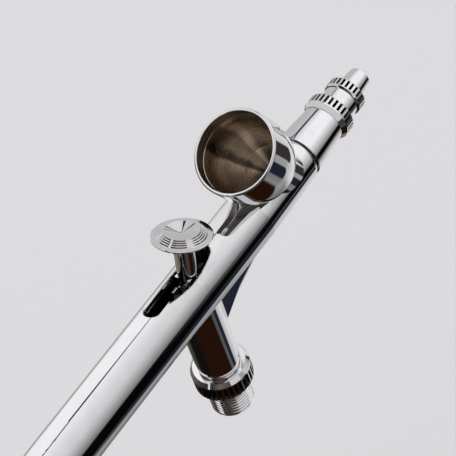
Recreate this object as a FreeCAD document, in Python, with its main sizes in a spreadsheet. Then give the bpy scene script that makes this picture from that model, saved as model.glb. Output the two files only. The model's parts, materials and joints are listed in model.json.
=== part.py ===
import FreeCAD, Part
import math
import os

import Sketcher

# A dual-action, gravity-feed airbrush gun, in millimetres.
# Each piece is drawn about the needle axis: X runs along the needle to the nozzle, Y to the
# left, Z up, and the valve axis crosses the needle axis at 0, 0, 0.  The placements then lift
# every piece by axis_height, so that the part's origin is the end of the air inlet's thread.

DRIVING = {
    # heights and lengths of the whole
    "axis_height": 37.0,
    "body_rear": -40.0,
    "seam_front": 40.85,
    "handle_end": -88.0,
    # main body
    "body_r": 6.0,
    "body_mid_r": 6.08,
    "body_mid_x": 22.0,
    "body_seam_r": 5.62,
    "bore_r": 4.5,
    "bore_front": 5.0,
    "spigot_r": 5.2,
    "spigot_len": 6.0,
    "boss_r": 4.865,
    "boss_bottom": -24.0,
    "pocket_mouth_r": 3.95,
    "pocket_mouth_z": -7.0,
    "valve_pocket_r": 3.4,
    "valve_pocket_z": -17.0,
    "valve_thread_r": 3.75,
    "web_half": 1.9,
    "packing_r": 2.0,
    "packing_x": 19.6,
    "chamber_x": 22.0,
    "chamber_r": 1.7,
    "head_bore_x": 36.0,
    "head_bore_r": 4.2,
    "airway_r": 0.7,
    "airway_z": -3.1,
    # colour cup
    "cup_x": 23.86,
    "cup_z": 18.47,
    "cup_tilt": 29.1,
    "cup_r": 9.46,
    "cup_wall": 0.7,
    "cup_band": 5.07,
    "cup_step": 2.75,
    "bowl_r": 8.66,
    "pocket_r": 5.6,
    "pocket_t": 15.2,
    "throat_r": 1.6,
    "throat_t": 19.3,
    # head, nozzle and caps
    "head_r": 5.58,
    "head_tip_r": 4.83,
    "head_seal_len": 0.5,
    "paint_way_r": 1.1,
    "nozzle_seat_x": 46.0,
    "nozzle_seal_len": 0.3,
    "nozzle_tail_r": 2.0,
    "nozzle_flange_x": 50.2,
    "cap_overlap": 2.84,
    "cap_overlap_r": 4.3,
    "cap_bore_r": 3.4,
    "crown_seat_x": 60.0,
    "crown_seat_r": 3.0,
    "ring_x": 51.06,
    "cap_ring_r": 5.5,
    "cap_ring_len": 3.8,
    "cap_r": 4.1,
    "crown_x": 58.6,
    "crown_ring_r": 4.5,
    "crown_ring_len": 2.6,
    "crown_r": 3.0,
    "nose_x": 66.5,
    "nozzle_tip_x": 60.2,
    # needle
    "needle_r": 0.65,
    "needle_tip_x": 62.5,
    "needle_tail_x": -75.0,
    # trigger
    "pivot_z": -8.5,
    "lean": 12.3,
    "button_lean": 19.0,
    "button_set_back": -1.71,
    "dish_r": 6.45,
    "dish_t": 14.96,
    "neck_r": 2.2,
    "leg_half": 1.9,
    "leg_slot_half": 0.95,
    "leg_depth": 1.3,
    "nose_z": 2.3,
    "pin_r": 0.6,
    # back lever and needle guide
    "lever_face_x": -2.0,
    "lever_pin_x": -11.0,
    "lever_pin_z": -2.4,
    "lever_half": 1.5,
    "guide_flange_x": -13.2,
    "guide_r": 2.0,
    "guide_tail_x": -57.0,
    "case_front": -31.0,
    "case_rear": -47.0,
    "nut_x": -50.0,
    # air valve
    "collar_r": 6.6,
    "collar_len": 5.4,
    "inlet_r": 4.865,
    "inlet_len": 7.0,
    "chamber_valve_r": 2.7,
    "seat_z": -20.5,
    "valve_rod_r": 0.9,
}

doc = FreeCAD.newDocument("airbrush_gun")
sheet = doc.addObject("Spreadsheet::Sheet", "Sheet")
for row, (alias, number) in enumerate(DRIVING.items(), start=1):
    sheet.set(f"A{row}", alias.replace("_", " "))
    sheet.set(f"B{row}", str(number))
    sheet.setAlias(f"B{row}", alias)
doc.recompute()


class Size:
    """A length or angle that knows its number now and its formula in the spreadsheet."""

    def __init__(self, number, formula):
        self.number = number
        self.formula = formula

    def _with(self, other, sign, result):
        other = as_size(other)
        return Size(result(self.number, other.number), f"({self.formula} {sign} {other.formula})")

    def __add__(self, other):
        return self._with(other, "+", lambda a, b: a + b)

    def __sub__(self, other):
        return self._with(other, "-", lambda a, b: a - b)

    def __mul__(self, other):
        return self._with(other, "*", lambda a, b: a * b)

    def __neg__(self):
        return Size(-self.number, f"(-1 * {self.formula})")


def as_size(value):
    """A plain number becomes a size of its own; a size stays as it is."""
    if isinstance(value, Size):
        return value
    return Size(float(value), f"{float(value):.6f}")


class Sheet:
    """Reads a driving dimension by name, such as dim.body_r."""

    def __getattr__(self, alias):
        return Size(float(sheet.get(alias)), f"Sheet.{alias}")


dim = Sheet()
AXIS_HEIGHT = dim.axis_height
NODES = []


# ---------------------------------------------------------------- helpers

def keep(piece, label):
    """Names a finished piece after its node."""
    piece.Label = label
    NODES.append(piece)
    return piece


def lift(piece):
    """Lifts a piece drawn about the needle axis to its height above the air inlet."""
    piece.setExpression("Placement.Base.z", AXIS_HEIGHT.formula)


def new_body(name):
    """A PartDesign body drawn about the needle axis."""
    body = doc.addObject("PartDesign::Body", name)
    lift(body)
    return body


def datum(body, role):
    """One of the body's own origin planes or axes."""
    for feature in body.Origin.OriginFeatures:
        if feature.Role == role:
            return feature
    raise ValueError(f"no {role}")


def new_sketch(body, plane, name, offset=0.0, turn=0.0):
    """A sketch on an origin plane, moved along its normal and turned about it."""
    sketch = body.newObject("Sketcher::SketchObject", name)
    sketch.AttachmentSupport = [(datum(body, plane), "")]
    sketch.MapMode = "FlatFace"
    offset = as_size(offset)
    turn = as_size(turn)
    spin = FreeCAD.Rotation(FreeCAD.Vector(0, 0, 1), turn.number)
    sketch.AttachmentOffset = FreeCAD.Placement(FreeCAD.Vector(0, 0, offset.number), spin)
    sketch.setExpression("AttachmentOffset.Base.z", offset.formula)
    sketch.setExpression("AttachmentOffset.Rotation.Angle", turn.formula)
    return sketch


def bind(sketch, constraint, size):
    """Adds one dimension and binds it to its formula."""
    number = sketch.addConstraint(constraint)
    sketch.setExpression(f"Constraints[{number}]", size.formula)


def place_point(sketch, line, end, x, y):
    """Fixes one end of a line at x, y in the sketch."""
    bind(sketch, Sketcher.Constraint("DistanceX", -1, 1, line, end, x.number), x)
    bind(sketch, Sketcher.Constraint("DistanceY", -1, 1, line, end, y.number), y)


def outline(sketch, points):
    """A closed outline.  A point is (x, y), or (x, y, r) where an arc of radius r leads to the
    next point: it bulges to the right of the way there, or to the left where r is negative."""
    corners = []
    for point in points:
        corners.append((as_size(point[0]), as_size(point[1]), point[2] if len(point) > 2 else None))
    count = len(corners)
    start_end = []
    for i, (x, y, radius) in enumerate(corners):
        to_x, to_y, _ = corners[(i + 1) % count]
        start = FreeCAD.Vector(x.number, y.number, 0)
        stop = FreeCAD.Vector(to_x.number, to_y.number, 0)
        if radius is None:
            edge = sketch.addGeometry(Part.LineSegment(start, stop), False)
            start_end.append((edge, 1, 2))
            continue
        chord = stop - start
        side = FreeCAD.Vector(chord.y, -chord.x, 0).normalize()
        size = as_size(radius)
        bend = abs(size.number)
        drop = bend - math.sqrt(max(bend * bend - chord.Length ** 2 / 4, 0.0))
        middle = (start + stop) * 0.5 + side * math.copysign(drop, size.number)
        arc = Part.Arc(start, middle, stop)
        edge = sketch.addGeometry(arc, False)
        # an arc of a sketch always runs anticlockwise, so its first end may be the far one
        forward = sketch.getPoint(edge, 1).distanceToPoint(start) < 1e-6
        start_end.append((edge, 1, 2) if forward else (edge, 2, 1))
        bind(sketch, Sketcher.Constraint("Radius", edge, bend), as_size(bend))
    for i, (edge, _, last) in enumerate(start_end):
        following, first, _ = start_end[(i + 1) % count]
        sketch.addConstraint(Sketcher.Constraint("Coincident", edge, last, following, first))
    for (edge, first, _), (x, y, _) in zip(start_end, corners):
        place_point(sketch, edge, first, x, y)


def circle(sketch, x, y, radius):
    """A full circle with its centre at x, y."""
    x = as_size(x)
    y = as_size(y)
    radius = as_size(radius)
    centre = FreeCAD.Vector(x.number, y.number, 0)
    edge = sketch.addGeometry(Part.Circle(centre, FreeCAD.Vector(0, 0, 1), radius.number), False)
    place_point(sketch, edge, 3, x, y)
    bind(sketch, Sketcher.Constraint("Radius", edge, radius.number), radius)


def turned(body, points, axis="H_Axis", cut=False, turn=0.0):
    """Revolves an outline drawn on the XZ plane, to add metal or to cut it away."""
    kind = "PartDesign::Groove" if cut else "PartDesign::Revolution"
    sketch = new_sketch(body, "XZ_Plane", "Profile", turn=turn)
    outline(sketch, points)
    feature = body.newObject(kind, "Turned")
    feature.Profile = sketch
    feature.ReferenceAxis = (sketch, [axis])
    feature.Angle = 360
    return settle(body, feature, cut)


def drilled(body, start, stop, radius):
    """A round hole from start to stop, both points of the XZ plane."""
    start = [as_size(value) for value in start]
    stop = [as_size(value) for value in stop]
    radius = as_size(radius)
    sketch = new_sketch(body, "XZ_Plane", "DrillProfile")
    a = FreeCAD.Vector(start[0].number, start[1].number, 0)
    b = FreeCAD.Vector(stop[0].number, stop[1].number, 0)
    along = (b - a).normalize()
    aside = FreeCAD.Vector(-along.y, along.x, 0) * radius.number
    corners = [a, b, b + aside, a + aside]
    for i in range(4):
        sketch.addGeometry(Part.LineSegment(corners[i], corners[(i + 1) % 4]), False)
    for i in range(4):
        sketch.addConstraint(Sketcher.Constraint("Coincident", i, 2, (i + 1) % 4, 1))
    place_point(sketch, 0, 1, start[0], start[1])
    place_point(sketch, 0, 2, stop[0], stop[1])
    sketch.addConstraint(Sketcher.Constraint("Perpendicular", 0, 1))
    sketch.addConstraint(Sketcher.Constraint("Perpendicular", 0, 3))
    sketch.addConstraint(Sketcher.Constraint("Parallel", 0, 2))
    bind(sketch, Sketcher.Constraint("Distance", 1, radius.number), radius)
    hole = body.newObject("PartDesign::Groove", "Drilled")
    hole.Profile = sketch
    hole.ReferenceAxis = (sketch, ["Edge1"])
    hole.Angle = 360
    return settle(body, hole, True)


def extruded(body, sketch, length, cut=False, side="One side", reverse=False):
    """Pads or pockets a sketch."""
    kind = "PartDesign::Pocket" if cut else "PartDesign::Pad"
    feature = body.newObject(kind, "Extruded")
    feature.Profile = sketch
    feature.SideType = side
    feature.Reversed = reverse
    length = as_size(length)
    feature.Length = length.number
    feature.setExpression("Length", length.formula)
    return settle(body, feature, cut)


def slab(body, points, half, cut=False):
    """An outline of the XZ plane, as thick as half each way along Y."""
    sketch = new_sketch(body, "XZ_Plane", "SideOutline")
    outline(sketch, points)
    return extruded(body, sketch, as_size(half) * 2, cut=cut, side="Symmetric")


def settle(body, feature, cut):
    """Recomputes, and makes sure that the feature really added or removed metal."""
    before = feature.BaseFeature.Shape.Volume if feature.BaseFeature else 0.0
    doc.recompute()
    after = feature.Shape.Volume
    changed = after < before if cut else after > before
    if not changed:
        raise RuntimeError(f"{body.Name} {feature.Name} changed nothing: {before} {after}")
    return feature


def pattern(body, feature, count, axis="X_Axis"):
    """Repeats a feature evenly around an axis of the body."""
    ring = body.newObject("PartDesign::PolarPattern", "Ring")
    ring.Originals = [feature]
    ring.Axis = (datum(body, axis), [""])
    ring.Angle = 360
    ring.Occurrences = count
    body.Tip = ring
    doc.recompute()
    return ring


def knurl(body, radius, depth, middle, length, count, axis="X_Axis", share=0.8):
    """Cuts V grooves along a turned band: the band's middle and length lie on its axis, and
    the grooves take their share of its girth."""
    plane = "YZ_Plane" if axis == "X_Axis" else "XY_Plane"
    sketch = new_sketch(body, plane, "Knurl", offset=middle)
    radius = as_size(radius)
    half = math.pi * radius.number / count * share
    outline(sketch, [(radius - depth, 0), (radius + depth, -2 * half), (radius + depth, 2 * half)])
    groove = extruded(body, sketch, length, cut=True, side="Symmetric")
    return pattern(body, groove, count, axis)


def ring_x(name, x0, x1, inner, outer):
    """A plain ring about the needle axis."""
    body = new_body(name)
    turned(body, [(x0, inner), (x1, inner), (x1, outer), (x0, outer)])
    return body


def ring_z(name, z0, z1, inner, outer):
    """A plain ring about the valve axis."""
    body = new_body(name)
    turned(body, [(inner, z0), (outer, z0), (outer, z1), (inner, z1)], axis="V_Axis")
    return body


def rounded(body, feature, test, radius):
    """Rounds the edges of a feature whose middle point passes a test."""
    names = []
    for number, edge in enumerate(feature.Shape.Edges, start=1):
        if len(edge.Vertexes) and test(edge.valueAt((edge.FirstParameter + edge.LastParameter) / 2)):
            names.append(f"Edge{number}")
    fillet = body.newObject("PartDesign::Fillet", "Rounded")
    fillet.Base = (feature, names)
    fillet.Radius = radius
    doc.recompute()
    return fillet


# ---------------------------------------------------------------- main body

def funnel_below_the_cup(body):
    """Carries the cup's bowl on into the barrel, down to the paint chamber."""
    tilt = math.radians(dim.cup_tilt.number)
    sketch = new_sketch(body, "XZ_Plane", "FunnelProfile", turn=dim.cup_tilt)
    # the cup's mouth, seen along and across its own axis
    mouth_x = dim.cup_x.number
    mouth_z = dim.cup_z.number
    aside = as_size(mouth_x * math.cos(tilt) + mouth_z * math.sin(tilt))
    above = as_size(mouth_z * math.cos(tilt) - mouth_x * math.sin(tilt))
    low = above - dim.throat_t
    high = above - dim.pocket_t
    slope = (dim.pocket_r - dim.throat_r).number / (dim.throat_t - dim.pocket_t).number
    extra = 4.0
    outline(sketch, [
        (aside, low),
        (aside + dim.throat_r, low),
        (aside + dim.pocket_r + slope * extra, high + extra),
        (aside, high + extra),
    ])
    funnel = body.newObject("PartDesign::Groove", "Funnel")
    funnel.Profile = sketch
    funnel.ReferenceAxis = (sketch, ["Edge4"])
    funnel.Angle = 360
    return settle(body, funnel, True)


def make_main_body():
    body = new_body("MainBody")
    near = 0.02
    half = dim.web_half.number
    # the fin that carries the air forward, from the valve boss to the underside
    web = slab(body, [(0, -4), (0, -17.0), (3.2, -15.0, -120.0), (36.0, -5.2), (36.0, -4)], half)
    rounded(body, web, lambda p: abs(abs(p.y) - half) < near and 10 < p.x < 30 and p.z < -5, 1.6)
    turned(body, [
        (dim.body_rear - dim.spigot_len, 0),
        (dim.body_rear - dim.spigot_len, dim.spigot_r),
        (dim.body_rear, dim.spigot_r),
        (dim.body_rear, dim.body_r),
        (0, dim.body_r),
        (dim.body_mid_x, dim.body_mid_r),
        (dim.seam_front, dim.body_seam_r),
        (dim.seam_front, 0),
    ])
    boss = new_sketch(body, "XY_Plane", "BossCircle")
    circle(boss, 0, 0, dim.boss_r)
    boss_pad = extruded(body, boss, -dim.boss_bottom, reverse=True)
    boss_r = dim.boss_r.number

    def web_meets_barrel(p):
        radius = math.hypot(p.y, p.z)
        return p.x > 5 and p.z < 0 and abs(radius - 6) < 0.5 and abs(p.y) < 2 and abs(p.x - 22) > 0.5

    def web_meets_boss(p):
        return p.x > 3.5 and -17 < p.z < -5.7 and abs(math.hypot(p.x, p.y) - boss_r) < near

    def under_the_web(p):
        return web_meets_barrel(p) or web_meets_boss(p)

    blended = rounded(body, boss_pad, under_the_web, 1.5)
    bottom = dim.boss_bottom.number
    rounded(body, blended, lambda p: abs(p.z - bottom) < near, 1.1)
    # bores along the needle axis
    turned(body, [
        (dim.body_rear - dim.spigot_len, 0),
        (dim.seam_front, 0),
        (dim.seam_front, dim.head_bore_r),
        (dim.head_bore_x, dim.head_bore_r),
        (dim.head_bore_x, dim.chamber_r),
        (dim.chamber_x, dim.chamber_r),
        (dim.chamber_x, dim.packing_r),
        (dim.bore_front, dim.packing_r),
        (dim.bore_front, dim.bore_r),
        (dim.body_rear - dim.spigot_len, dim.bore_r),
    ], cut=True)
    # bores along the valve axis
    turned(body, [
        (0, 0),
        (dim.pocket_mouth_r, 0),
        (dim.pocket_mouth_r, dim.pocket_mouth_z),
        (dim.valve_pocket_r, dim.pocket_mouth_z - 0.5),
        (dim.valve_pocket_r, dim.valve_pocket_z),
        (dim.valve_thread_r, dim.valve_pocket_z),
        (dim.valve_thread_r, dim.boss_bottom),
        (0, dim.boss_bottom),
    ], axis="V_Axis", cut=True)
    # the trigger's opening in the top: bowed on the right, straight on the left
    slot = new_sketch(body, "XY_Plane", "TopOpening")
    outline(slot, [
        (-10.3, -1.3), (-7.0, -1.3), (-7.0, -1.66, 25.0), (6.6, -1.9, 2.3),
        (6.6, 2.55), (-10.3, 2.55, 1.925),
    ])
    opening = extruded(body, slot, 8.0, cut=True, reverse=True)
    barrel_r = dim.body_r.number

    def rim_of_the_opening(p):
        return p.z > 3 and -12.5 < p.x < 9.2 and abs(math.hypot(p.y, p.z) - barrel_r) < 0.06

    rounded(body, opening, rim_of_the_opening, 0.22)
    # paint way from the cup, and the air way to the head
    tilt = math.radians(dim.cup_tilt.number)
    reach = 10.0
    foot_x = dim.cup_x.number + dim.cup_z.number * math.tan(tilt)
    top = (foot_x - reach * math.sin(tilt), reach * math.cos(tilt))
    drilled(body, (foot_x, 0), top, dim.throat_r)
    funnel_below_the_cup(body)
    drilled(body, (2.8, -15.9), (14.5, dim.airway_z), dim.airway_r)
    drilled(body, (14.0, dim.airway_z), (dim.seam_front, dim.airway_z), dim.airway_r)
    return keep(body, "main_body")


# ---------------------------------------------------------------- colour cup

def make_cup():
    body = doc.addObject("PartDesign::Body", "CupBlank")
    wall = dim.cup_wall
    outer = dim.cup_r
    band = dim.cup_band
    inner = outer - wall
    outer_edge = 0.35
    inner_edge = 0.1
    turned(body, [
        (dim.throat_r, -19.6),
        (6.2, -19.6),
        (6.2, -15.2, 16.0),
        (outer, -band),
        (outer, -outer_edge, outer_edge),
        (outer - outer_edge, 0),
        (inner + inner_edge, 0, inner_edge),
        (inner, -inner_edge),
        (inner, -dim.cup_step),
        (dim.bowl_r, -dim.cup_step - 0.1),
        (dim.bowl_r, -band + 0.6, -16.0),
        (dim.pocket_r, -dim.pocket_t),
        (dim.throat_r, -dim.throat_t),
    ], axis="V_Axis")
    # the saddle that fits the barrel under it
    barrel = doc.addObject("Part::Cone", "BarrelForSaddle")
    barrel.setExpression("Radius1", dim.body_mid_r.formula)
    barrel.setExpression("Radius2", dim.body_seam_r.formula)
    barrel.setExpression("Height", (dim.seam_front - dim.body_mid_x).formula)
    barrel.Placement = FreeCAD.Placement(
        FreeCAD.Vector(dim.body_mid_x.number, 0, 0),
        FreeCAD.Rotation(FreeCAD.Vector(0, 1, 0), 90),
    )
    barrel.setExpression("Placement.Base.x", dim.body_mid_x.formula)
    lift(barrel)
    behind = doc.addObject("Part::Cone", "BarrelBehindTheCup")
    behind.setExpression("Radius1", dim.body_r.formula)
    behind.setExpression("Radius2", dim.body_mid_r.formula)
    behind.setExpression("Height", dim.body_mid_x.formula)
    behind.Placement = FreeCAD.Placement(
        FreeCAD.Vector(0, 0, 0),
        FreeCAD.Rotation(FreeCAD.Vector(0, 1, 0), 90),
    )
    lift(behind)
    low = doc.addObject("Part::Box", "BelowTheAxis")
    low.Length = 60
    low.Width = 40
    low.Height = 40
    low.Placement.Base = FreeCAD.Vector(0, -20, -40)
    foot_above_axis = 2.2
    low.setExpression("Placement.Base.z", (AXIS_HEIGHT - 40 + foot_above_axis).formula)
    tilt = FreeCAD.Rotation(FreeCAD.Vector(0, 1, 0), -dim.cup_tilt.number)
    body.Placement = FreeCAD.Placement(FreeCAD.Vector(0, 0, 0), tilt)
    body.setExpression("Placement.Base.x", dim.cup_x.formula)
    body.setExpression("Placement.Base.z", (AXIS_HEIGHT + dim.cup_z).formula)
    away = doc.addObject("Part::MultiFuse", "SaddleTool")
    away.Shapes = [barrel, behind, low]
    cup = doc.addObject("Part::Cut", "Cup")
    cup.Base = body
    cup.Tool = away
    doc.recompute()
    return keep(cup, "colour_cup")


# ---------------------------------------------------------------- head and nozzle

def make_front_head():
    body = new_body("FrontHead")
    ring_end = dim.ring_x + dim.cap_overlap
    seal_end = dim.head_bore_x + dim.head_seal_len
    seam_edge = 0.03
    turned(body, [
        (seal_end, dim.paint_way_r),
        (dim.nozzle_seat_x, dim.paint_way_r),
        (dim.nozzle_seat_x, dim.nozzle_tail_r),
        (dim.nozzle_flange_x, dim.nozzle_tail_r),
        (dim.nozzle_flange_x, dim.cap_bore_r),
        (ring_end, dim.cap_bore_r),
        (ring_end, dim.cap_overlap_r),
        (dim.ring_x, dim.cap_overlap_r),
        (dim.ring_x, dim.head_tip_r),
        (dim.seam_front + seam_edge, dim.head_r),
        (dim.seam_front, dim.head_r - seam_edge),
        (dim.seam_front, dim.head_bore_r),
        (seal_end, dim.head_bore_r),
    ])
    past_flange = dim.nozzle_flange_x + 0.4
    drilled(body, (seal_end, dim.airway_z), (past_flange, dim.airway_z), dim.airway_r)
    return keep(body, "front_head")


def make_nozzle():
    body = new_body("FluidNozzle")
    tip = dim.nozzle_tip_x
    tail = dim.nozzle_seat_x + dim.nozzle_seal_len
    flange = dim.nozzle_flange_x
    turned(body, [
        (tail, 1.0),
        (52.0, 1.0),
        (tip, 0.25),
        (tip, 0.45),
        (flange + 1.0, 1.7),
        (flange + 1.0, 2.6),
        (flange, 2.6),
        (flange, dim.nozzle_tail_r),
        (tail, dim.nozzle_tail_r),
    ])
    return keep(body, "fluid_nozzle")


def make_nozzle_cap():
    body = new_body("NozzleCap")
    start = dim.ring_x
    shoulder = start + dim.cap_ring_len
    ring = dim.cap_ring_r
    turned(body, [
        (start, dim.cap_overlap_r),
        (start + dim.cap_overlap, dim.cap_overlap_r),
        (start + dim.cap_overlap, dim.cap_bore_r),
        (57.4, dim.cap_bore_r),
        (dim.crown_seat_x - 0.4, 0.75),
        (dim.crown_seat_x, 0.75),
        (dim.crown_seat_x, dim.crown_seat_r),
        (dim.crown_x, dim.crown_seat_r),
        (dim.crown_x, dim.cap_r),
        (shoulder, dim.cap_r),
        (shoulder, ring - 0.25, 0.25),
        (shoulder - 0.25, ring),
        (start + 1.2, ring),
        (start, dim.head_tip_r + 0.1),
    ])
    knurl(body, ring, 0.55, start + 2.8, 2.6, 30, share=0.55)
    return keep(body, "nozzle_cap")


def make_needle_cap():
    body = new_body("NeedleCap")
    start = dim.crown_x
    shoulder = start + dim.crown_ring_len
    ring = dim.crown_ring_r
    turned(body, [
        (start, dim.crown_seat_r),
        (dim.crown_seat_x, dim.crown_seat_r),
        (dim.crown_seat_x, 2.2),
        (dim.nose_x, 1.9),
        (dim.nose_x, 2.3),
        (dim.nose_x - 0.3, 2.55),
        (shoulder, dim.crown_r),
        (shoulder, ring - 0.2, 0.2),
        (shoulder - 0.2, ring),
        (start + 0.35, ring),
        (start, ring - 0.2),
    ])
    knurl(body, ring, 0.5, start + 1.75, 2.4, 26, share=0.55)
    return keep(body, "needle_cap")


# ---------------------------------------------------------------- needle and its packing

def make_needle():
    body = new_body("FluidNeedle")
    r = dim.needle_r
    turned(body, [
        (dim.needle_tail_x, 0),
        (dim.needle_tail_x, r - 0.2),
        (dim.needle_tail_x + 0.4, r),
        (48.0, r),
        (dim.needle_tip_x, 0.05),
        (dim.needle_tip_x, 0),
    ])
    return keep(body, "fluid_needle")


def make_packing_screw():
    body = new_body("PackingScrew")
    rear = 9.5
    turned(body, [
        (rear, 0.75), (dim.packing_x, 0.75), (dim.packing_x, dim.packing_r), (rear, dim.packing_r),
    ])
    sketch = new_sketch(body, "YZ_Plane", "ScrewdriverSlot", offset=rear)
    outline(sketch, [(-2.2, -0.3), (2.2, -0.3), (2.2, 0.3), (-2.2, 0.3)])
    extruded(body, sketch, 1.0, cut=True, reverse=True)
    return keep(body, "packing_screw")


# ---------------------------------------------------------------- trigger

def make_trigger():
    body = new_body("Trigger")
    leg = dim.leg_depth
    pivot = dim.pivot_z
    slab(body, [
        (leg, 5.2),
        (leg, pivot),
        (-leg, pivot),
        (-leg, dim.nose_z + 0.3),
        (-leg + 0.4, dim.nose_z + 0.9),
        (-leg + 0.4, 5.2),
    ], dim.leg_half)
    foot = new_sketch(body, "XZ_Plane", "FootCircle")
    circle(foot, 0, pivot, leg)
    extruded(body, foot, dim.leg_half * 2, side="Symmetric")
    nose = new_sketch(body, "XZ_Plane", "NoseCircle")
    circle(nose, -leg + 0.1, dim.nose_z, 0.5)
    extruded(body, nose, dim.lever_half * 2, side="Symmetric")
    # round neck, about an axis that leans forward
    top = dim.dish_t
    rim = dim.dish_r
    neck = dim.neck_r
    turned(body, [
        (0, 4.3),
        (neck, 4.3),
        (neck, top - 1.7),
        (0, top - 1.7),
    ], axis="V_Axis", turn=-dim.lean)
    # finger button: it leans further than the neck and steps up to a hollow in its middle
    side = dim.button_set_back
    button = new_sketch(body, "XZ_Plane", "ButtonProfile", turn=-dim.button_lean)
    outline(button, [
        (side, top + 0.3),
        (side, top - 2.9),
        (side + neck - 0.1, top - 2.9, -1.2),
        (side + neck + 0.7, top - 1.9),
        (side + rim - 1.0, top - 0.72),
        (side + rim - 0.1, top - 0.42),
        (side + rim, top - 0.3),
        (side + rim, top - 0.1),
        (side + rim - 0.1, top),
        (side + 5.2, top + 0.03),
        (side + 5.1, top + 0.3),
        (side + 4.75, top + 0.3),
        (side + 4.65, top + 0.57),
        (side + 4.35, top + 0.57),
        (side + 4.25, top + 0.84),
        (side + 3.95, top + 0.84),
        (side + 3.85, top + 1.1),
        (side + 3.6, top + 1.1),
    ])
    feature = body.newObject("PartDesign::Revolution", "Button")
    feature.Profile = button
    feature.ReferenceAxis = (button, ["Edge1"])
    feature.Angle = 360
    settle(body, feature, False)
    fork = new_sketch(body, "YZ_Plane", "NeedleSlot")
    gap = dim.leg_slot_half
    outline(fork, [(-gap, pivot - 2), (gap, pivot - 2), (gap, 4.0), (-gap, 4.0)])
    extruded(body, fork, 8.0, cut=True, side="Symmetric")
    hole = new_sketch(body, "XZ_Plane", "PinHole")
    circle(hole, 0, pivot, dim.pin_r + 0.05)
    extruded(body, hole, 8.0, cut=True, side="Symmetric")
    return keep(body, "trigger")


# ---------------------------------------------------------------- back lever and needle guide

def make_lever():
    body = new_body("BackLever")
    face = dim.lever_face_x
    pin_x = dim.lever_pin_x
    pin_z = dim.lever_pin_z
    slab(body, [
        (pin_x, pin_z - 1.15),
        (face - 0.9, -3.5),
        (face, -2.6),
        (face, 3.2),
        (face - 1.5, 3.2),
        (face - 2.4, -1.0),
        (pin_x, pin_z + 1.1),
    ], dim.lever_half)
    eye = new_sketch(body, "XZ_Plane", "EyeCircle")
    circle(eye, pin_x, pin_z, 1.15)
    extruded(body, eye, dim.lever_half * 2, side="Symmetric")
    fork = new_sketch(body, "YZ_Plane", "NeedleSlot", offset=-6.0)
    gap = dim.leg_slot_half
    outline(fork, [(-gap, -1.85), (gap, -1.85), (gap, 6.0), (-gap, 6.0)])
    extruded(body, fork, 8.6, cut=True, side="Symmetric")
    hole = new_sketch(body, "XZ_Plane", "PinHole")
    circle(hole, pin_x, pin_z, dim.pin_r + 0.05)
    extruded(body, hole, 8.0, cut=True, side="Symmetric")
    return keep(body, "back_lever")


def make_guide():
    body = new_body("NeedleGuide")
    front = dim.guide_flange_x
    tube = dim.guide_r
    needle = dim.needle_r
    tail = dim.guide_tail_x
    turned(body, [
        (tail, needle),
        (front, needle),
        (front, dim.bore_r - 0.08),
        (front - 2.0, dim.bore_r - 0.08),
        (front - 2.0, tube),
        (tail, tube),
    ])
    slab(body, [
        (front - 0.5, -3.55),
        (front - 0.5, -1.2),
        (dim.lever_pin_x + 1.2, -1.2),
        (dim.lever_pin_x + 1.2, -3.55),
    ], 2.5)
    gap = new_sketch(body, "XY_Plane", "GapForTheLever")
    slack = dim.lever_half + 0.06
    outline(gap, [(front, -slack), (-9.0, -slack), (-9.0, slack), (front, slack)])
    extruded(body, gap, 5.0, cut=True)
    hole = new_sketch(body, "XZ_Plane", "PinHole")
    circle(hole, dim.lever_pin_x, dim.lever_pin_z, dim.pin_r)
    extruded(body, hole, 8.0, cut=True, side="Symmetric")
    split = new_sketch(body, "YZ_Plane", "ColletSlot", offset=tail)
    outline(split, [(-0.2, -2.5), (0.2, -2.5), (0.2, 2.5), (-0.2, 2.5)])
    extruded(body, split, 6.0, cut=True, reverse=True)
    return keep(body, "needle_guide")


def make_chuck_nut():
    body = new_body("ChuckNut")
    start = dim.nut_x
    bore = dim.guide_r
    turned(body, [
        (start - 6.0, bore), (start, bore), (start, 3.3), (start - 0.4, 3.7),
        (start - 5.2, 3.7), (start - 6.0, 3.0),
    ])
    knurl(body, 3.7, 0.3, start - 2.8, 3.6, 24)
    return keep(body, "chuck_nut")


def make_spring_case():
    body = new_body("SpringCase")
    front = dim.case_front
    rear = dim.case_rear
    outer = dim.bore_r
    turned(body, [
        (rear, dim.guide_r + 0.08),
        (rear + 3.0, dim.guide_r + 0.08),
        (rear + 3.0, 3.5),
        (front, 3.5),
        (front, outer),
        (rear + 1.0, outer),
        (rear + 1.0, 4.9),
        (rear, 4.9),
    ])
    return keep(body, "spring_case")


def make_lever_pin():
    body = new_body("LeverPin")
    sketch = new_sketch(body, "XZ_Plane", "PinCircle")
    circle(sketch, dim.lever_pin_x, dim.lever_pin_z, dim.pin_r)
    extruded(body, sketch, 4.8, side="Symmetric")
    return keep(body, "lever_pin")


def make_handle():
    body = new_body("Handle")
    front = dim.body_rear
    end = dim.handle_end
    turned(body, [
        (front, dim.spigot_r),
        (front, dim.body_r),
        (front - 4.0, dim.body_r, 312.0),
        (end + 3.0, 3.3),
        (end + 3.0, 2.0),
        (-66.0, 2.0),
        (-64.0, 4.3),
        (-49.0, 5.1),
        (front - dim.spigot_len, dim.spigot_r),
    ])
    return keep(body, "handle")


def make_handle_plug():
    body = new_body("HandlePlug")
    end = dim.handle_end
    turned(body, [
        (end, 0),
        (end + 8.0, 0),
        (end + 8.0, 1.7),
        (end + 7.7, 2.0),
        (end + 3.0, 2.0),
        (end + 3.0, 3.3, 3.2),
        (end, 0.8),
    ])
    return keep(body, "handle_plug")


# ---------------------------------------------------------------- air valve

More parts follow.
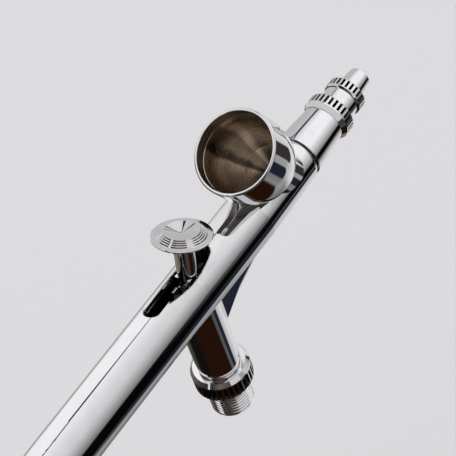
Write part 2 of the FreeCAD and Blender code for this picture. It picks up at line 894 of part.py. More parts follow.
def make_valve_body():
    body = new_body("ValveBody")
    top = dim.valve_pocket_z
    collar = dim.boss_bottom
    low = collar - dim.collar_len
    end = -AXIS_HEIGHT
    r = dim.collar_r
    turned(body, [
        (1.5, top),
        (1.5, dim.seat_z),
        (dim.chamber_valve_r, dim.seat_z),
        (dim.chamber_valve_r, end),
        (dim.inlet_r, end),
        (dim.inlet_r, end + dim.inlet_len),
        (dim.inlet_r - 0.45, end + dim.inlet_len),
        (dim.inlet_r - 0.45, low),
        (r - 0.5, low),
        (r, low + 0.5),
        (r, collar - 1.0),
        (r - 0.7, collar - 0.05),
        (4.4, collar),
        (dim.valve_thread_r, collar),
        (dim.valve_thread_r, top),
    ], axis="V_Axis")
    knurl(body, r, 0.42, collar - 3.2, 3.4, 34, axis="Z_Axis")
    return keep(body, "valve_body")


def make_plunger():
    body = new_body("ValvePlunger")
    pivot = dim.pivot_z
    disc = dim.valve_pocket_r - 0.06
    turned(body, [
        (0, -10.6),
        (disc, -10.6),
        (disc, -11.3),
        (disc - 0.75, -11.3),
        (disc - 0.75, -12.2),
        (disc, -12.2),
        (disc, -12.9),
        (dim.valve_rod_r, -13.3),
        (dim.valve_rod_r, dim.seat_z - 0.45),
        (0, dim.seat_z - 0.45),
    ], axis="V_Axis")
    tongue = 0.85
    slab(body, [(1.2, -10.8), (1.2, pivot), (-1.2, pivot), (-1.2, -10.8)], tongue)
    eye = new_sketch(body, "XZ_Plane", "EyeCircle")
    circle(eye, 0, pivot, 1.2)
    extruded(body, eye, 2 * tongue, side="Symmetric")
    hole = new_sketch(body, "XZ_Plane", "PinHole")
    circle(hole, 0, pivot, dim.pin_r)
    extruded(body, hole, 4.0, cut=True, side="Symmetric")
    return keep(body, "valve_plunger")


def make_plunger_pin():
    body = new_body("PlungerPin")
    sketch = new_sketch(body, "XZ_Plane", "PinCircle")
    circle(sketch, 0, dim.pivot_z, dim.pin_r)
    extruded(body, sketch, 3.7, side="Symmetric")
    return keep(body, "plunger_pin")


def make_plunger_seal():
    body = new_body("PlungerSeal")
    sketch = new_sketch(body, "XZ_Plane", "SealCircle")
    circle(sketch, dim.valve_pocket_r - 0.435, -11.75, 0.37)
    seal = body.newObject("PartDesign::Revolution", "Turned")
    seal.Profile = sketch
    seal.ReferenceAxis = (sketch, ["V_Axis"])
    seal.Angle = 360
    doc.recompute()
    return keep(body, "plunger_seal")


def make_valve_head():
    body = new_body("ValveHead")
    top = dim.seat_z - 0.45
    turned(body, [
        (0, top), (2.15, top), (2.15, top - 1.1), (1.1, top - 1.1), (1.1, top - 2.2), (0, top - 2.2),
    ], axis="V_Axis")
    return keep(body, "valve_head")


def make_valve_screw():
    body = new_body("ValveScrew")
    end = -AXIS_HEIGHT
    outer = dim.chamber_valve_r
    turned(body, [
        (1.2, end + 0.6), (outer, end + 0.6), (outer, end + 4.0), (1.2, end + 4.0),
    ], axis="V_Axis")
    sketch = new_sketch(body, "XY_Plane", "ScrewdriverSlot", offset=end + 0.6)
    outline(sketch, [(-3.0, -0.4), (3.0, -0.4), (3.0, 0.4), (-3.0, 0.4)])
    extruded(body, sketch, 1.0, cut=True, reverse=True)
    return keep(body, "valve_screw")


def make_coil(label, length, coil_r, wire_r, turns, place):
    """A plain compression spring: one wire along a helix, with its centre line as given."""
    helix = Part.makeHelix(length / turns, length, coil_r)
    section = Part.Wire([Part.makeCircle(wire_r, FreeCAD.Vector(coil_r, 0, 0), FreeCAD.Vector(0, 1, 0))])
    wire = Part.Wire(helix).makePipeShell([section], True, True)
    coil = doc.addObject("Part::Feature", label)
    coil.Shape = wire
    coil.Placement = place
    return keep(coil, label)


def make_springs():
    height = AXIS_HEIGHT.number
    needle_wire = 0.35
    front = dim.guide_flange_x.number - 2.0 - needle_wire
    rear = dim.case_rear.number + 3.0 + needle_wire
    along = FreeCAD.Rotation(FreeCAD.Vector(0, 1, 0), 90)
    needle_place = FreeCAD.Placement(FreeCAD.Vector(rear, 0, height), along)
    make_coil("needle_spring", front - rear, 2.75, needle_wire, 11, needle_place)
    valve_wire = 0.3
    bottom = 4.0 + valve_wire
    top = height + dim.seat_z.number - 0.45 - 1.1 - valve_wire
    valve_place = FreeCAD.Placement(FreeCAD.Vector(0, 0, bottom), FreeCAD.Rotation())
    make_coil("valve_spring", top - bottom, 1.75, valve_wire, 7, valve_place)


# ---------------------------------------------------------------- the assembly

make_main_body()
make_cup()
make_front_head()
head_seal_end = dim.head_bore_x + dim.head_seal_len
keep(ring_x("HeadSeal", dim.head_bore_x, head_seal_end, dim.chamber_r, dim.head_bore_r), "head_seal")
nozzle_seal_end = dim.nozzle_seat_x + dim.nozzle_seal_len
keep(
    ring_x("NozzleSeal", dim.nozzle_seat_x, nozzle_seal_end, dim.paint_way_r, dim.nozzle_tail_r),
    "nozzle_seal",
)
make_nozzle()
make_nozzle_cap()
make_needle_cap()
make_needle()
keep(ring_x("NeedlePacking", dim.packing_x, dim.chamber_x, 0.70, dim.packing_r), "needle_packing")
make_packing_screw()
make_trigger()
make_lever()
make_lever_pin()
make_guide()
make_chuck_nut()
make_spring_case()
make_handle()
make_handle_plug()
make_valve_body()
make_plunger()
make_plunger_pin()
make_plunger_seal()
make_valve_head()
keep(ring_z("ValveSeal", dim.seat_z - 0.45, dim.seat_z - 0.02, dim.valve_rod_r, 2.15), "valve_seal")
make_valve_screw()
make_springs()

doc.recompute()
for item in doc.Objects:
    if "Invalid" in item.State or "Error" in item.State:
        raise RuntimeError(f"{item.Name} is {item.State}")
for node in NODES:
    if node.Shape.isNull() or not node.Shape.isValid():
        raise RuntimeError(f"{node.Label} has no valid shape")

os.makedirs("parts", exist_ok=True)
for node in NODES:
    node.Shape.exportStep(f"parts/{node.Label}.step")
    print(f"{node.Label:16s} {node.Shape.Volume:9.2f} mm3  solids {len(node.Shape.Solids)}")
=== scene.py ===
import bmesh
import bpy
import json
import math

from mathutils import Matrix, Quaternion, Vector


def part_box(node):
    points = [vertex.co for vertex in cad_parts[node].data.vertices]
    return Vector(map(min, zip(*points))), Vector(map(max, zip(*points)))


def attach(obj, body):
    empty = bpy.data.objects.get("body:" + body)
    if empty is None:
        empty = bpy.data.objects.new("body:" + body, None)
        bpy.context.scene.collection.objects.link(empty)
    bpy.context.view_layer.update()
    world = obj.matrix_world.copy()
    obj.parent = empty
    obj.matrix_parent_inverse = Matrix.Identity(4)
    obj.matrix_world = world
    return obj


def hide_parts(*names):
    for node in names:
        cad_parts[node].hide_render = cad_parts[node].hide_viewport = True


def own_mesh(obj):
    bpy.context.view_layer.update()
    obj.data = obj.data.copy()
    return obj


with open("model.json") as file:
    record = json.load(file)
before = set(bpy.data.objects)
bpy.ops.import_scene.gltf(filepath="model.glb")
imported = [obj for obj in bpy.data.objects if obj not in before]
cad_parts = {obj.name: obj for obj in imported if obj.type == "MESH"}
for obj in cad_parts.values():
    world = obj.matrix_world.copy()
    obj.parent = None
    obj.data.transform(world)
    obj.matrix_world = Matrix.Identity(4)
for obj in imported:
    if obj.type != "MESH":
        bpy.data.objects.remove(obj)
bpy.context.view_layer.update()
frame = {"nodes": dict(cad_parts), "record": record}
RECORD = frame["record"]
BODY_OF = {node: body for body, nodes in RECORD["behaviour"]["bodies"].items() for node in nodes}
SLOT_OF = {part["node"]: part["material_slot"] for part in RECORD["subparts"]}
MM = 0.001

# The needle's axis runs along X at the height AXIS_Z, and the valve's axis is the frame's Z.
NEEDLE_LOW, NEEDLE_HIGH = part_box("fluid_needle")
AXIS_Z = (NEEDLE_LOW.z + NEEDLE_HIGH.z) / 2.0
NEEDLE_AXIS = Vector((0.0, 0.0, AXIS_Z))
VALVE_AXIS = Vector((0.0, 0.0, 0.0))
ALONG_X = Vector((1.0, 0.0, 0.0))
ALONG_Z = Vector((0.0, 0.0, 1.0))

# Radii of the knurled bands.
FRONT_RING_R = 5.5 * MM
CROWN_RING_R = 4.5 * MM
COLLAR_R = 6.6 * MM

# The cup's own axis leans back from the barrel; its mouth is centred at CUP_MOUTH.
CUP_TILT = math.radians(29.1)
CUP_MOUTH = Vector((23.86 * MM, 0.0, AXIS_Z + 18.47 * MM))
CUP_UP = Vector((-math.sin(CUP_TILT), 0.0, math.cos(CUP_TILT)))
CUP_FRONT = Vector((math.cos(CUP_TILT), 0.0, math.sin(CUP_TILT)))

# Painted reflection bands inside the cup, dark brown to pale tan, standing in for the streaks that the
# turned wall reflects, by the angle around its axis from the front: (degrees, how bright the painted band
# is).
PAINTED_REFLECTION_BANDS = [(0, 0.55), (200, 0.65), (228, 1.0), (258, 1.0), (264, 0.05), (272, 0.05), (280, 0.45),
        (300, 0.30), (306, 1.0), (314, 1.0), (321, 0.45), (360, 0.55)]


# ---------------------------------------------------------------- node helpers

class Nodes:
    """Adds nodes to one tree and links them, keeping each material's code short."""

    def __init__(self, tree):
        self.tree = tree
        self.tree.nodes.clear()

    def add(self, kind, **settings):
        node = self.tree.nodes.new(kind)
        for name, value in settings.items():
            setattr(node, name, value)
        return node

    def feed(self, socket, value):
        """Links an output to a socket, or sets a plain value on it."""
        if isinstance(value, bpy.types.NodeSocket):
            self.tree.links.new(value, socket)
        else:
            socket.default_value = value

    def math(self, operation, a, b=None, c=None):
        node = self.add("ShaderNodeMath", operation=operation)
        for socket, value in zip(node.inputs, (a, b, c)):
            if value is not None:
                self.feed(socket, value)
        return node.outputs[0]

    def vector(self, operation, a, b=None):
        node = self.add("ShaderNodeVectorMath", operation=operation)
        self.feed(node.inputs[0], a)
        if b is not None:
            self.feed(node.inputs[1], b)
        return node.outputs["Value" if operation in ("DOT_PRODUCT", "LENGTH") else "Vector"]

    def span(self, value, low, high, to_low=0.0, to_high=1.0):
        """Maps value smoothly from low..high to to_low..to_high."""
        node = self.add("ShaderNodeMapRange", interpolation_type="SMOOTHSTEP")
        for socket, given in zip(node.inputs, (value, low, high, to_low, to_high)):
            self.feed(socket, given)
        return node.outputs[0]

    def between(self, value, low, high, soft):
        """1 where value lies between low and high, fading to 0 within soft of each."""
        return self.math("MULTIPLY", self.span(value, low, low + soft), self.span(value, high, high - soft))

    def blend(self, factor, a, b, mode="MIX"):
        node = self.add("ShaderNodeMix", data_type="RGBA", blend_type=mode)
        self.feed(node.inputs["Factor"], factor)
        self.feed(node.inputs["A"], a)
        self.feed(node.inputs["B"], b)
        return node.outputs["Result"]

    def noise(self, where, scale, detail=3.0, roughness=0.5):
        node = self.add("ShaderNodeTexNoise")
        self.feed(node.inputs["Vector"], where)
        node.inputs["Scale"].default_value = scale
        node.inputs["Detail"].default_value = detail
        node.inputs["Roughness"].default_value = roughness
        return node.outputs["Fac"]

    def ramp(self, turn, stops):
        """A grey level along turn, which runs from 0 to 1, through (place, level) stops."""
        node = self.add("ShaderNodeValToRGB")
        self.feed(node.inputs["Fac"], turn)
        elements = node.color_ramp.elements
        while len(elements) < len(stops):
            elements.new(0.5)
        for element, (place, level) in zip(elements, stops):
            element.position = place
            element.color = rgb(level, level, level)
        return node.outputs["Color"]

    def bump(self, height, strength, distance):
        node = self.add("ShaderNodeBump")
        self.feed(node.inputs["Height"], height)
        node.inputs["Strength"].default_value = strength
        node.inputs["Distance"].default_value = distance
        return node.outputs["Normal"]


def rgb(red, green, blue):
    return (red, green, blue, 1.0)


def new_material(name):
    material = bpy.data.materials.new(name)
    material.use_nodes = True
    return material, Nodes(material.node_tree)


def principled(nodes, **values):
    """The surface and its output; keys are socket names with _ for a space."""
    shader = nodes.add("ShaderNodeBsdfPrincipled")
    for name, value in values.items():
        nodes.feed(shader.inputs[name.replace("_", " ")], value)
    output = nodes.add("ShaderNodeOutputMaterial")
    nodes.tree.links.new(shader.outputs[0], output.inputs["Surface"])
    return shader


def stretched(nodes, where, scale):
    """Coordinates stretched by scale, for marks that run one way."""
    node = nodes.add("ShaderNodeMapping")
    nodes.feed(node.inputs["Vector"], where)
    node.inputs["Scale"].default_value = scale
    return node.outputs["Vector"]


# ---------------------------------------------------------------- materials

def chrome(name, tint, marks_along="x", gloss=0.035):
    """Polished plate: nearly a mirror, with faint turning marks, finger haze and a few hairlines."""
    material, nodes = new_material(name)
    where = nodes.add("ShaderNodeTexCoord").outputs["Object"]
    haze = nodes.noise(where, 260.0, 4.0, 0.6)
    around = {"x": (1.0, 0.02, 0.02), "z": (0.02, 0.02, 1.0)}[marks_along]
    turning = nodes.noise(stretched(nodes, where, around), 9000.0, 2.0)
    hair = nodes.noise(stretched(nodes, where, (0.06, 1.0, 1.0)), 5200.0, 1.0)
    roughness = nodes.math("ADD", nodes.span(haze, 0.45, 0.75, gloss, gloss + 0.05),
                           nodes.span(hair, 0.70, 0.80, 0.0, 0.05))
    colour = nodes.blend(nodes.span(haze, 0.35, 0.8), rgb(*tint), rgb(*[c * 0.94 for c in tint]))
    principled(nodes, Base_Color=colour, Metallic=1.0, Roughness=roughness,
               Normal=nodes.bump(turning, 0.06, 0.00002))
    return material


def turned_metal(name, tint, roughness):
    """Machined metal that was never polished, with fine rings from the lathe."""
    material, nodes = new_material(name)
    where = nodes.add("ShaderNodeTexCoord").outputs["Object"]
    rings = nodes.noise(stretched(nodes, where, (1.0, 0.02, 0.02)), 6000.0, 3.0, 0.7)
    stain = nodes.noise(where, 180.0, 4.0, 0.6)
    colour = nodes.blend(nodes.span(rings, 0.3, 0.7), rgb(*[c * 0.8 for c in tint]), rgb(*tint))
    colour = nodes.blend(nodes.span(stain, 0.5, 0.8, 0.0, 0.35), colour, rgb(*[c * 0.62 for c in tint]))
    principled(nodes, Base_Color=colour, Metallic=1.0,
               Roughness=nodes.span(rings, 0.2, 0.8, roughness - 0.06, roughness + 0.08),
               Normal=nodes.bump(rings, 0.25, 0.00003))
    return material


def cup_bowl_metal():
    """The inside of the cup: rings turned about the cup's own axis, which draw reflections out along it,
    and brown bands down the wall painted into the colour, as painted reflections fixed to the wall."""
    material, nodes = new_material("cup_bowl_metal")
    where = nodes.add("ShaderNodeTexCoord").outputs["Object"]
    from_mouth = nodes.vector("SUBTRACT", where, tuple(CUP_MOUTH))
    depth = nodes.vector("DOT_PRODUCT", from_mouth, tuple(CUP_UP))
    around = nodes.vector("CROSS_PRODUCT", tuple(CUP_UP), from_mouth)
    tangent = nodes.vector("NORMALIZE", around)
    ring_place = nodes.add("ShaderNodeCombineXYZ")
    nodes.feed(ring_place.inputs[0], depth)
    rings = nodes.noise(ring_place.outputs[0], 7000.0, 3.0, 0.75)
    scratches = nodes.noise(stretched(nodes, where, (1.0, 1.0, 0.25)), 2600.0, 2.0, 0.6)
    forward = nodes.vector("DOT_PRODUCT", from_mouth, tuple(CUP_FRONT))
    rightward = nodes.vector("DOT_PRODUCT", from_mouth, (0.0, -1.0, 0.0))
    turn = nodes.math("MULTIPLY", nodes.math("ARCTAN2", rightward, forward), 1.0 / (2.0 * math.pi))
    wander = nodes.span(nodes.noise(where, 160.0, 2.0), 0.3, 0.7, -0.008, 0.008)
    # painted reflection bands: dark brown to pale tan by the angle around the cup's axis
    painted_band_stops = [(degrees / 360.0, level) for degrees, level in PAINTED_REFLECTION_BANDS]
    painted_reflection_bands = nodes.ramp(nodes.math("FRACT", nodes.math("ADD", turn, wander)), painted_band_stops)
    colour = nodes.blend(painted_reflection_bands, rgb(0.075, 0.064, 0.056), rgb(1.0, 0.87, 0.73))
    colour = nodes.blend(nodes.span(rings, 0.35, 0.65, 0.0, 0.35), colour, rgb(0.22, 0.19, 0.16))
    colour = nodes.blend(nodes.span(scratches, 0.55, 0.75, 0.0, 0.25), colour, rgb(0.95, 0.85, 0.72))
    # the plain band under the lip is darker: painted shade under the rim
    under_lip_shade = nodes.span(depth, -2.9 * MM, -2.7 * MM)
    colour = nodes.blend(under_lip_shade, colour, rgb(0.30, 0.27, 0.25))
    principled(nodes, Base_Color=colour, Metallic=1.0, Anisotropic=0.85, Tangent=tangent,
               Roughness=nodes.span(rings, 0.2, 0.8, 0.20, 0.32),
               Normal=nodes.bump(rings, 0.35, 0.00003))
    return material


def rubber():
    """Moulded seal rubber with a fine grain and a faint bloom."""
    material, nodes = new_material("black_rubber")
    where = nodes.add("ShaderNodeTexCoord").outputs["Object"]
    grain = nodes.noise(where, 9000.0, 2.0)
    bloom = nodes.noise(where, 700.0, 3.0)
    colour = nodes.blend(nodes.span(bloom, 0.4, 0.8), rgb(0.012, 0.012, 0.013), rgb(0.045, 0.045, 0.047))
    principled(nodes, Base_Color=colour, Roughness=nodes.span(grain, 0.3, 0.7, 0.55, 0.75),
               Normal=nodes.bump(grain, 0.2, 0.00003))
    return material


def packing_plastic():
    """Waxy white packing, slightly see-through at its edges."""
    material, nodes = new_material("white_packing")
    where = nodes.add("ShaderNodeTexCoord").outputs["Object"]
    cloud = nodes.noise(where, 900.0, 3.0)
    colour = nodes.blend(nodes.span(cloud, 0.3, 0.7), rgb(0.82, 0.82, 0.79), rgb(0.90, 0.90, 0.88))
    principled(nodes, Base_Color=colour, Roughness=nodes.span(cloud, 0.3, 0.7, 0.32, 0.45),
               Subsurface_Weight=0.15, Normal=nodes.bump(cloud, 0.1, 0.00003))
    return material


MATERIALS = {
    "polished_chrome": chrome("polished_chrome", (0.86, 0.86, 0.88)),
    "cup_chrome": chrome("cup_chrome", (0.84, 0.84, 0.86), marks_along="z"),
    "trigger_chrome": chrome("trigger_chrome", (0.87, 0.87, 0.89), marks_along="z", gloss=0.05),
    "steel": turned_metal("steel", (0.60, 0.60, 0.62), 0.22),
    "nickel": turned_metal("nickel", (0.72, 0.70, 0.66), 0.20),
    "brass": turned_metal("brass", (0.80, 0.60, 0.30), 0.24),
    "black_rubber": rubber(),
    "white_packing": packing_plastic(),
    # dark dull metal for knurl grooves: painted shade in the grooves
    "groove_painted_shade": turned_metal("groove_painted_shade", (0.075, 0.068, 0.062), 0.34),
}


# ---------------------------------------------------------------- pieces

def dress(obj, material):
    """Gives every material slot of an object the same material."""
    if not obj.material_slots:
        obj.data.materials.append(material)
    for slot in obj.material_slots:
        slot.material = material


def copied(node, name):
    """A piece with a CAD node's shape, to take finer geometry or several finishes in its place."""
    piece = bpy.data.objects.new(name, frame["nodes"][node].data.copy())
    bpy.context.scene.collection.objects.link(piece)
    piece.data.materials.clear()
    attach(piece, BODY_OF[node])
    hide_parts(node)
    return piece


def faces_the_cup_axis(face, reach):
    """Whether a face lies within reach of the cup's axis and looks towards it."""
    from_mouth = face.center - CUP_MOUTH
    out = from_mouth - from_mouth.dot(CUP_UP) * CUP_UP
    return out.length < reach and face.normal.dot(out) < -0.05 * out.length


def make_cup(bowl):
    """The cup, with a turned bowl inside and polished plate outside."""
    cup = copied("colour_cup", "cup")
    cup.data.materials.append(MATERIALS["cup_chrome"])
    cup.data.materials.append(bowl)
    for face in cup.data.polygons:
        face.material_index = 1 if faces_the_cup_axis(face, 8.8 * MM) else 0


def make_barrel(bowl):
    """The main body: plated outside and on the edges, dull and dark in its bores and opening, where the
    dark is painted shade, and turned like the cup's bowl in the funnel under it."""
    barrel = copied("main_body", "barrel")
    barrel.data.materials.append(MATERIALS["polished_chrome"])
    # dull dark metal for the bores and opening: painted shade in the recesses
    barrel.data.materials.append(turned_metal("bore_painted_shade", (0.16, 0.145, 0.135), 0.40))
    barrel.data.materials.append(bowl)
    for face in barrel.data.polygons:
        off_axis = face.center - NEEDLE_AXIS
        radius = math.hypot(off_axis.y, off_axis.z)
        in_bore = radius < 5.0 * MM and face.normal.y * off_axis.y + face.normal.z * off_axis.z < 0.0
        below = math.hypot(off_axis.x, off_axis.y) < 4.2 * MM and off_axis.z < 0.0
        depth = (face.center - CUP_MOUTH).dot(CUP_UP)
        in_funnel = -19.4 * MM < depth < -10.0 * MM and faces_the_cup_axis(face, 8.0 * MM)
        # bores and the opening below take the dark material: painted shade
        face.material_index = 2 if in_funnel else 1 if in_bore or below else 0


def is_groove(face, centre, axis, radius):
    """Whether a face is the flank of a knurl's groove: it lies under the band's own radius, and
    looks around the axis more than away from it."""
    out = face.center - centre
    out = out - out.dot(axis) * axis
    around = axis.cross(out).normalized()
    return out.length < radius - 0.08 * MM and abs(face.normal.dot(around)) > 0.4


def make_knurled(node, name, radius):
    """A cap with a knurled ring, whose groove flanks take a dark material: painted shade in the grooves."""
    cap = copied(node, name)
    cap.data.materials.append(MATERIALS["polished_chrome"])
    cap.data.materials.append(MATERIALS["groove_painted_shade"])
    for face in cap.data.polygons:
        groove = is_groove(face, NEEDLE_AXIS, ALONG_X, radius)
        face.material_index = 1 if groove else 0


def is_thread_face(face, major, low, high):
    """Whether a face lies on the inlet's plain cylinder."""
    for vertex in face.verts:
        if abs(math.hypot(vertex.co.x, vertex.co.y) - major) > 0.02 * MM:
            return False
        if not low - 0.01 * MM < vertex.co.z < high + 0.01 * MM:
            return False
    return abs(face.normal.z) < 0.3


def make_inlet_thread():
    """Cuts a right-handed 28-to-the-inch thread into the inlet, which the solid shows as a plain
    cylinder of the thread's major diameter."""
    valve = copied("valve_body", "valve_with_thread")
    valve.data.materials.append(MATERIALS["polished_chrome"])
    valve.data.materials.append(MATERIALS["groove_painted_shade"])
    above_thread = 7.2 * MM
    for face in valve.data.polygons:
        # the collar's knurl grooves take the dark groove material: painted shade
        groove = is_groove(face, VALVE_AXIS, ALONG_Z, COLLAR_R)
        face.material_index = 1 if groove and face.center.z > above_thread else 0
    pitch = 25.4 * MM / 28.0
    major = 4.865 * MM
    low = 0.0
    high = 7.0 * MM
    mesh = bmesh.new()
    mesh.from_mesh(valve.data)
    flank = [face for face in mesh.faces if is_thread_face(face, major, low, high)]
    bmesh.ops.delete(mesh, geom=flank, context="FACES_ONLY")
    rows_a_turn = 8
    rows = int(round((high - low) / pitch * rows_a_turn))
    columns = 96
    depth = 0.58 * MM
    fade = 0.5 * MM
    grid = []
    for row in range(rows + 1):
        z = low + (high - low) * row / rows
        runout = min(1.0, (z - low) / fade, (high - z) / fade)
        ring = []
        for column in range(columns):
            turn = column / columns
            phase = (z / pitch - turn) % 1.0
            groove = 0.5 - 0.5 * math.cos(2.0 * math.pi * phase)
            radius = major - depth * max(runout, 0.0) * groove
            angle = 2.0 * math.pi * turn
            ring.append(mesh.verts.new((radius * math.cos(angle), radius * math.sin(angle), z)))
        grid.append(ring)
    for row in range(rows):
        for column in range(columns):
            after = (column + 1) % columns
            corners = (grid[row][column], grid[row][after], grid[row + 1][after], grid[row + 1][column])
            mesh.faces.new(corners).smooth = True
    mesh.to_mesh(valve.data)
    mesh.free()


def make_spring(node, name):
    """A copy of a spring with its own mesh, in its slot's material."""
    spring = copied(node, name)
    spring.data.materials.append(MATERIALS[SLOT_OF[node]])
    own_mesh(spring)


for node, obj in frame["nodes"].items():
    dress(obj, MATERIALS[SLOT_OF[node]])
bowl_metal = cup_bowl_metal()
make_barrel(bowl_metal)
make_cup(bowl_metal)
make_knurled("nozzle_cap", "front_ring", FRONT_RING_R)
make_knurled("needle_cap", "crown_ring", CROWN_RING_R)
make_inlet_thread()
make_spring("needle_spring", "needle_coil")
make_spring("valve_spring", "valve_coil")


# ---------------------------------------------------------------- studio

# The studio's surfaces, by the angle around the needle's axis: 0 is straight up, 90 is level on
# the right, -90 level on the left and 180 straight down.  Each stop is (degrees, how bright it
# looks on chrome).
WHITE = 0.95
BLACK = 0.06
TENT_BESIDE = [
    # table on the left, bright left wall, roof falling off to the right
    (-180, 0.45), (-125, 0.45), (-95, WHITE), (-35, WHITE), (45, 0.80), (92, 0.45),
    # black card low on the right, then the table
    (96, BLACK), (135, BLACK), (160, 0.60), (180, 0.45),
]
TENT_AHEAD = [
    # the front opening is brightest overhead, and the black card is narrower there
    (-180, 0.85), (-100, 0.70), (-40, 0.75), (-5, WHITE), (50, WHITE), (104, 0.50),
    (110, BLACK), (130, BLACK), (150, 0.70), (180, 0.85),
]
ROOM_BEHIND = [
    # dark, with a lamp low on the left and a window on the right
    (-180, 0.10), (-145, 0.10), (-125, 0.50), (-80, 0.25), (0, 0.10), (50, 0.40), (80, 0.20),
    (125, 0.30), (140, BLACK), (180, 0.10),
]


# How strong a white surface of the studio is, and the power that turns looks into light.
WHITE_LIGHT = 1.12
LOOKS_TO_LIGHT = 2.2
# Two cards, by the direction they hang in.
BLUE_CARD = (0.449, -0.523, -0.724)
GREY_CARD = (0.785, -0.285, -0.550)


def surfaces(stops):
    """A studio list as places along the turn from -180 to 180 degrees, and light."""
    return [(degrees / 360.0 + 0.5, WHITE_LIGHT * looks ** LOOKS_TO_LIGHT) for degrees, looks in stops]


def studio_world():
    """A studio drawn by direction: a white tent overhead with dark seams along its left side, a
    black card low on the right, and a dark room behind with a pale door and a lit ceiling.
    Straight views past the floor see the backdrop's plain colour."""
    world = bpy.data.worlds.new("studio")
    bpy.context.scene.world = world
    world.use_nodes = True
    nodes = Nodes(world.node_tree)
    way = nodes.add("ShaderNodeTexCoord").outputs["Generated"]
    part = nodes.add("ShaderNodeSeparateXYZ")
    nodes.feed(part.inputs[0], way)
    x, y, z = part.outputs
    turn = nodes.math("ARCTAN2", nodes.math("MULTIPLY", y, -1.0), z)
    turn = nodes.math("MULTIPLY_ADD", turn, 1.0 / (2.0 * math.pi), 0.5)
    angle = nodes.math("MULTIPLY_ADD", turn, 360.0, -180.0)
    room, beside, ahead = [nodes.ramp(turn, surfaces(stops))
                           for stops in (ROOM_BEHIND, TENT_BESIDE, TENT_AHEAD)]
    light = nodes.blend(nodes.span(x, 0.38, 0.54), beside, ahead)
    # two thin dark seams of the tent; the second shows only well forward
    seam_at = nodes.math("MULTIPLY_ADD", x, -17.0, -20.5)
    off_seam = nodes.math("ABSOLUTE", nodes.math("SUBTRACT", angle, seam_at))
    light = nodes.blend(nodes.span(off_seam, 2.2, 1.2), light, rgb(0.012, 0.012, 0.014))
    off_second = nodes.math("ABSOLUTE", nodes.math("ADD", angle, 47.0))
    second = nodes.math("MULTIPLY", nodes.span(off_second, 1.8, 1.0), nodes.span(x, 0.50, 0.56))
    light = nodes.blend(second, light, rgb(0.02, 0.02, 0.022))
    # the room behind is warm and dark, with a pale door high on the left and a lit ceiling
    room = nodes.blend(1.0, room, rgb(1.0, 0.86, 0.74), mode="MULTIPLY")
    door = nodes.math("MULTIPLY", nodes.between(angle, -46.0, -24.0, 4.0), nodes.span(x, -0.24, -0.32))
    room = nodes.blend(door, room, rgb(0.92, 0.91, 0.91))
    ceiling_end = nodes.math("MULTIPLY_ADD", nodes.span(angle, -30.0, 20.0), -0.12, -0.32)
    before_end = nodes.span(nodes.math("SUBTRACT", x, ceiling_end), -0.02, 0.02)
    ceiling = nodes.math("MULTIPLY", nodes.between(angle, -100.0, 92.0, 10.0), before_end)
    room = nodes.blend(ceiling, room, rgb(0.66, 0.65, 0.66))
    board = nodes.math("MULTIPLY", nodes.span(z, -0.52, -0.60), nodes.span(y, 0.10, 0.0))
    room = nodes.blend(board, room, rgb(0.018, 0.0065, 0.003))
    room = nodes.blend(nodes.span(x, 0.13, 0.20), room, light)
    # a dark blue card and a dark grey one, both low ahead on the right
    toward_blue = nodes.vector("DOT_PRODUCT", way, BLUE_CARD)
    room = nodes.blend(nodes.span(toward_blue, 0.988, 0.993), room, rgb(0.016, 0.020, 0.034))
    toward_grey = nodes.vector("DOT_PRODUCT", way, GREY_CARD)
    room = nodes.blend(nodes.span(toward_grey, 0.984, 0.990), room, rgb(0.040, 0.034, 0.032))
    seen = nodes.add("ShaderNodeBackground")
    nodes.feed(seen.inputs["Color"], rgb(0.728, 0.716, 0.738))
    lit = nodes.add("ShaderNodeBackground")
    nodes.feed(lit.inputs["Color"], room)
    mix = nodes.add("ShaderNodeMixShader")
    nodes.feed(mix.inputs[0], nodes.add("ShaderNodeLightPath").outputs["Is Camera Ray"])
    nodes.tree.links.new(lit.outputs[0], mix.inputs[1])
    nodes.tree.links.new(seen.outputs[0], mix.inputs[2])
    output = nodes.add("ShaderNodeOutputWorld")
    nodes.tree.links.new(mix.outputs[0], output.inputs["Surface"])


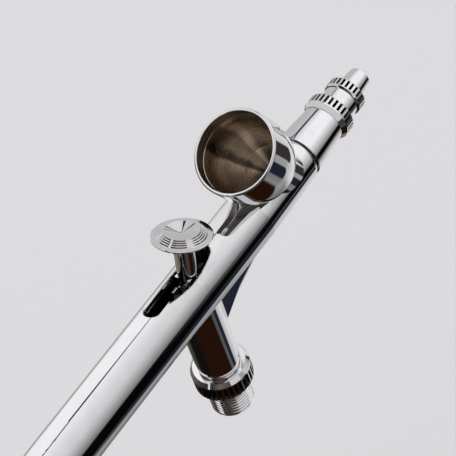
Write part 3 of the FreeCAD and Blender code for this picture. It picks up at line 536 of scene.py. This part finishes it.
def pale_floor():
    """A wide matt floor, well below the gun, which is held in the air by its inlet."""
    size = 3.0
    height = -0.14
    mesh = bpy.data.meshes.new("floor")
    corners = [(-size, -size, height), (size, -size, height), (size, size, height), (-size, size, height)]
    mesh.from_pydata(corners, [], [(0, 1, 2, 3)])
    floor = bpy.data.objects.new("floor", mesh)
    bpy.context.scene.collection.objects.link(floor)
    material, nodes = new_material("floor_paper")
    where = nodes.add("ShaderNodeTexCoord").outputs["Object"]
    fibre = nodes.noise(where, 900.0, 3.0)
    colour = nodes.blend(fibre, rgb(0.555, 0.548, 0.562), rgb(0.575, 0.568, 0.582))
    principled(nodes, Base_Color=colour, Roughness=0.9)
    floor.data.materials.append(material)
    floor.visible_glossy = False


def softbox(name, place, aim, size, power):
    """A square soft light that lights the floor and matt pieces, and shows in no reflection."""
    lamp = bpy.data.lights.new(name, "AREA")
    lamp.size = size
    lamp.energy = power
    light = bpy.data.objects.new(name, lamp)
    bpy.context.scene.collection.objects.link(light)
    light.location = place
    light.rotation_mode = "QUATERNION"
    light.rotation_quaternion = (Vector(aim) - Vector(place)).to_track_quat("-Z", "Y")
    light.visible_glossy = False
    light.visible_camera = False


def place_camera():
    """Looks down on the trigger from behind, right of the gun, with the picture turned a little."""
    position = Vector((-0.16591, -0.21112, AXIS_Z + 0.29612))
    aim = Vector((0.01536, 0.0, AXIS_Z + 0.00370))
    roll = math.radians(-19.87)
    data = bpy.data.cameras.new("camera")
    data.sensor_width = 36.0
    data.lens = 153.7
    data.clip_start = 0.01
    camera = bpy.data.objects.new("camera", data)
    bpy.context.scene.collection.objects.link(camera)
    camera.location = position
    camera.rotation_mode = "QUATERNION"
    level = (aim - position).to_track_quat("-Z", "Y")
    camera.rotation_quaternion = level @ Quaternion((0.0, 0.0, 1.0), roll)
    bpy.context.scene.camera = camera


studio_world()
pale_floor()
softbox("overhead", (0.2, 0.3, 1.4), (0.0, 0.0, 0.0), 1.6, 22.0)
place_camera()
bpy.context.scene.view_settings.view_transform = "Standard"
